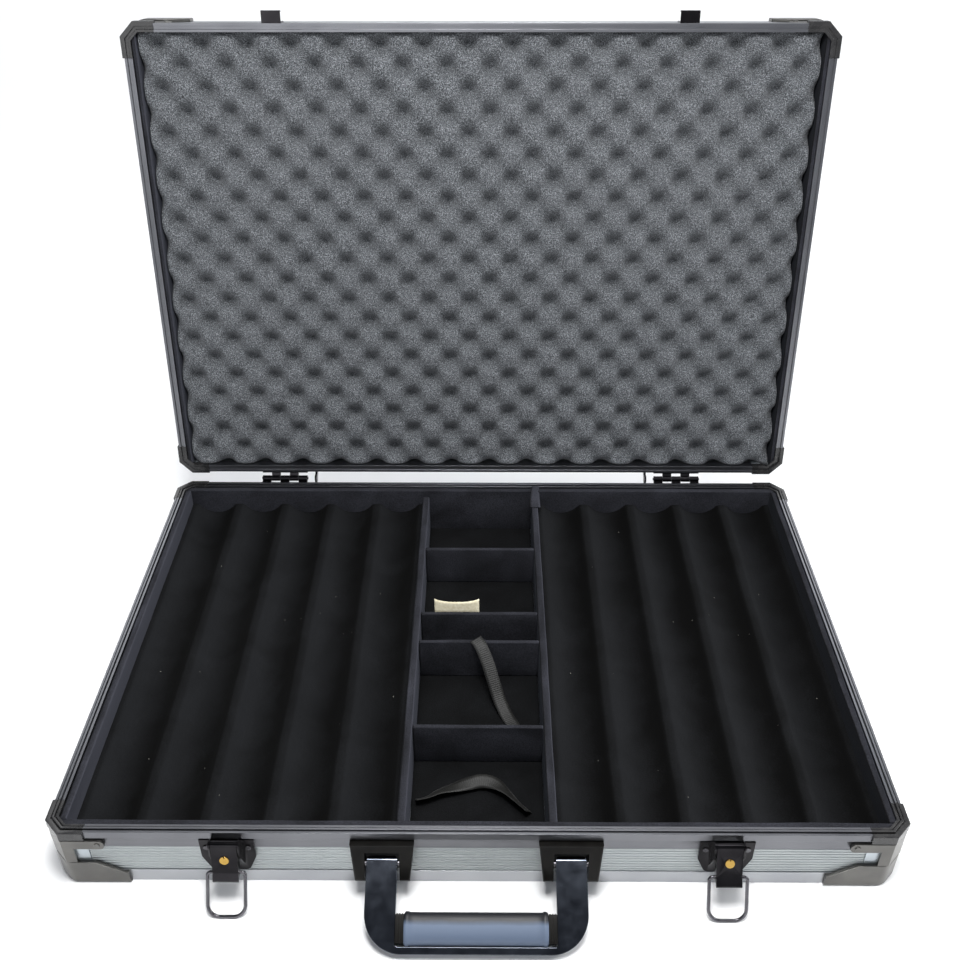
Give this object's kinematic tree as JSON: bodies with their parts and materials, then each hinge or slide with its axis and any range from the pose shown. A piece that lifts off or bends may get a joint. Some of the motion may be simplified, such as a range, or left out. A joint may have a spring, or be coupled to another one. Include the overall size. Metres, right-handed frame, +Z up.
{
  "type": "poker chip case",
  "caption": "Open shallow aluminium-trimmed case with foam-lined lid, grooved chip trays either side of a card column, folding handle and two lever latches.",
  "frame": {"origin": "centre of the underside of the base's bottom board", "axes": "+Z up, front of the case (handle and latches) towards -Y, +X to the right of a person facing the front"},
  "size_m": [0.5606, 0.5415, 0.4496],
  "materials": {
    "silver_rail": "satin anodised",
    "ribbed_panel": "fine ribbed, satin",
    "black_corner": "gloss black",
    "grey_corner": "satin grey",
    "wood_board": "fibreboard faced with pebbled aluminium",
    "lining": "black velvet over board",
    "tray": "black flocked tray",
    "foam": "charcoal egg-crate foam",
    "gunmetal": "dark chrome",
    "steel": "bright wire and pins",
    "black_plastic": "moulded black",
    "grip": "dark blue-grey gloss",
    "brass": "satin brass",
    "paper": "cream card",
    "dark_bow": "dark navy gloss",
    "ribbon": "woven black ribbon"
  },
  "bodies": {
    "base": {"base_rim_rails": "silver_rail", "base_edge_rails": "silver_rail", "base_front_panel": "ribbed_panel", "base_back_panel": "ribbed_panel", "base_left_panel": "ribbed_panel", "base_right_panel": "ribbed_panel", "base_corner_posts": "wood_board", "base_rim_corners": "black_corner", "base_corner_brackets": "grey_corner", "base_corner_caps": "grey_corner", "bottom_board": "wood_board", "front_lining": "lining", "back_lining": "lining", "left_lining": "lining", "right_lining": "lining", "left_chip_tray": "tray", "right_chip_tray": "tray", "left_divider": "lining", "right_divider": "lining", "card_floor": "lining", "cross_divider_1": "lining", "cross_divider_2": "lining", "cross_divider_3": "lining", "cross_divider_4": "lining", "card_tag": "paper", "back_ribbon": "ribbon", "front_ribbon": "ribbon", "base_hinge_leaves": "gunmetal", "hinge_pins": "steel", "base_hinge_rivets": "steel", "handle_brackets": "black_plastic", "handle_pins": "steel", "latch_plates": "gunmetal", "latch_rivets": "steel", "lever_pins": "steel"},
    "lid": {"lid_rim_rails": "silver_rail", "lid_edge_rails": "silver_rail", "lid_panels": "ribbed_panel", "lid_corner_posts": "wood_board", "lid_rim_corners": "black_corner", "lid_corner_brackets": "grey_corner", "lid_corner_caps": "grey_corner", "lid_board": "wood_board", "lid_linings": "lining", "lid_foam": "foam", "lid_hinge_leaves": "gunmetal", "lid_hinge_rivets": "steel", "lid_stop_plates": "gunmetal", "lid_catches": "gunmetal"},
    "handle": {"handle_frame": "dark_bow", "handle_grip": "grip", "handle_collars": "black_plastic"},
    "left_lever": {"left_latch_lever": "gunmetal"},
    "right_lever": {"right_latch_lever": "gunmetal"},
    "left_bail_loop": {"left_bail": "steel"},
    "right_bail_loop": {"right_bail": "steel"},
    "left_lock": {"left_lock_barrel": "brass"},
    "right_lock": {"right_lock_barrel": "brass"}
  },
  "joints": [
    {"name": "lid_hinge", "type": "hinge", "parent": "base", "child": "lid", "pos_m": [0, 0.2, 0.0514], "axis": [1, 0, 0], "range_deg": [0, 98.28]},
    {"name": "handle_swing", "type": "hinge", "parent": "base", "child": "handle", "pos_m": [0, -0.1995, 0.0294], "axis": [-1, 0, 0], "range_deg": [-55, 93]},
    {"name": "left_lever_lift", "type": "hinge", "parent": "base", "child": "left_lever", "pos_m": [-0.1615, -0.1985, 0.0464], "axis": [-1, 0, 0], "range_deg": [0, 95]},
    {"name": "right_lever_lift", "type": "hinge", "parent": "base", "child": "right_lever", "pos_m": [0.1615, -0.1985, 0.0464], "axis": [-1, 0, 0], "range_deg": [-8, 87]},
    {"name": "left_bail_swing", "type": "hinge", "parent": "left_lever", "child": "left_bail_loop", "pos_m": [-0.1615, -0.2045, 0.0261], "axis": [1, 0, 0], "range_deg": [-157.6, 47.2]},
    {"name": "right_bail_swing", "type": "hinge", "parent": "right_lever", "child": "right_bail_loop", "pos_m": [0.1615, -0.20727, 0.02713], "axis": [1, 0, 0], "range_deg": [-153.5, 43.3]},
    {"name": "left_lock_turn", "type": "hinge", "parent": "left_lever", "child": "left_lock", "pos_m": [-0.1615, -0.20381, 0.03724], "axis": [0, -0.9645, 0.264], "range_deg": [0, 90]},
    {"name": "right_lock_turn", "type": "hinge", "parent": "right_lever", "child": "right_lock", "pos_m": [0.1615, -0.20503, 0.03807], "axis": [0, -0.9184, 0.3956], "range_deg": [0, 90]}
  ]
}
